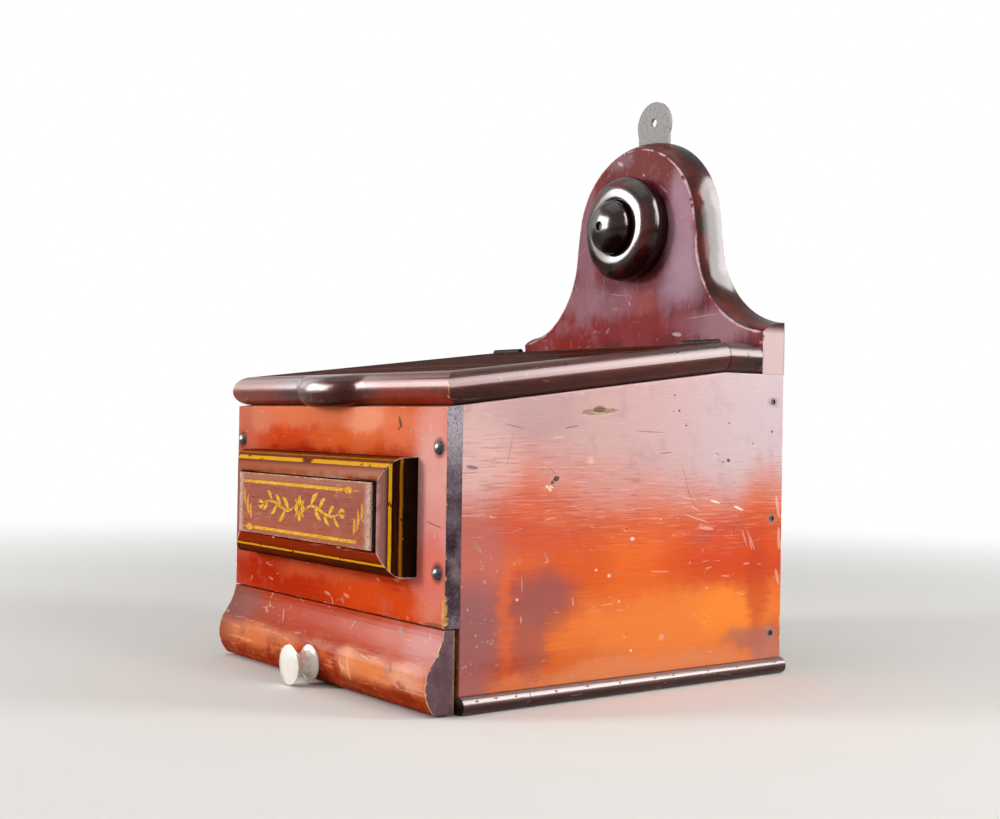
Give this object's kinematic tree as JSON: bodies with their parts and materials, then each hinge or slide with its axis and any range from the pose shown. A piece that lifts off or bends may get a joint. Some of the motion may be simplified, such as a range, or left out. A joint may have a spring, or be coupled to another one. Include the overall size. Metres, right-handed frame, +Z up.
{
  "type": "salt box",
  "caption": "Wall-hanging wooden salt box with a sloping hinged lid, a knobbed drawer below the salt, a raised painted plaque and a shaped crest.",
  "frame": {"origin": "centre of the base's underside, midway between the two sides and between the front panel's face and the wall", "axes": "+X to the right of someone facing the front, +Y back towards the wall, +Z up"},
  "size_m": [0.208, 0.235, 0.3135],
  "materials": {
    "side_wood": "worn stained and varnished wood",
    "front_wood": "worn stained and varnished wood",
    "lid_wood": "dark polished wood, worn on its edges",
    "crest_wood": "dark red stained and varnished wood",
    "base_wood": "dark polished wood",
    "boss_wood": "dark turned wood, French polished",
    "plaque_wood": "dark stained moulding with painted lines",
    "tablet_paint": "painted board with a gilt border",
    "bare_wood": "bare unfinished pine",
    "glazed": "white glazed ceramic",
    "hanger_metal": "dull zinc-plated steel",
    "brass": "tarnished brass",
    "iron": "blackened iron"
  },
  "bodies": {
    "case": {"back_board": "crest_wood", "side_left": "side_wood", "side_right": "side_wood", "front_panel": "front_wood", "base_board_front": "base_wood", "base_board_rear": "base_wood", "salt_floor": "bare_wood", "hinge_rail": "lid_wood", "plaque_rail_top": "plaque_wood", "plaque_rail_bottom": "plaque_wood", "plaque_stile_left": "plaque_wood", "plaque_stile_right": "plaque_wood", "plaque_ground": "plaque_wood", "plaque_tablet": "tablet_paint", "front_panel_pins": "iron", "side_brads": "iron", "base_nails": "iron", "rail_screws": "iron", "crest_boss": "boss_wood", "boss_screw": "hanger_metal", "hanger_plate": "hanger_metal", "hanger_screws": "hanger_metal", "hinge_rail_leaf_left": "brass", "hinge_rail_leaf_right": "brass", "hinge_pin_left": "brass", "hinge_pin_right": "brass", "hinge_rail_screws": "brass"},
    "lid": {"lid_board": "lid_wood", "lid_edge_front": "lid_wood", "lid_edge_left": "lid_wood", "lid_edge_right": "lid_wood", "hinge_lid_leaf_left": "brass", "hinge_lid_leaf_right": "brass", "hinge_lid_screws": "brass"},
    "drawer": {"drawer_front": "front_wood", "drawer_side_left": "bare_wood", "drawer_side_right": "bare_wood", "drawer_back": "bare_wood", "drawer_bottom": "bare_wood", "drawer_knob": "glazed", "knob_stud": "brass", "drawer_brads": "iron"}
  },
  "joints": [
    {"name": "lid_hinge", "type": "hinge", "parent": "case", "child": "lid", "pos_m": [0, 0.06325, 0.16981], "axis": [-1, 0, 0], "range_deg": [0, 96.5]},
    {"name": "drawer_slide", "type": "slide", "parent": "case", "child": "drawer", "axis": [0, -1, 0], "range_m": [0, 0.15]}
  ]
}
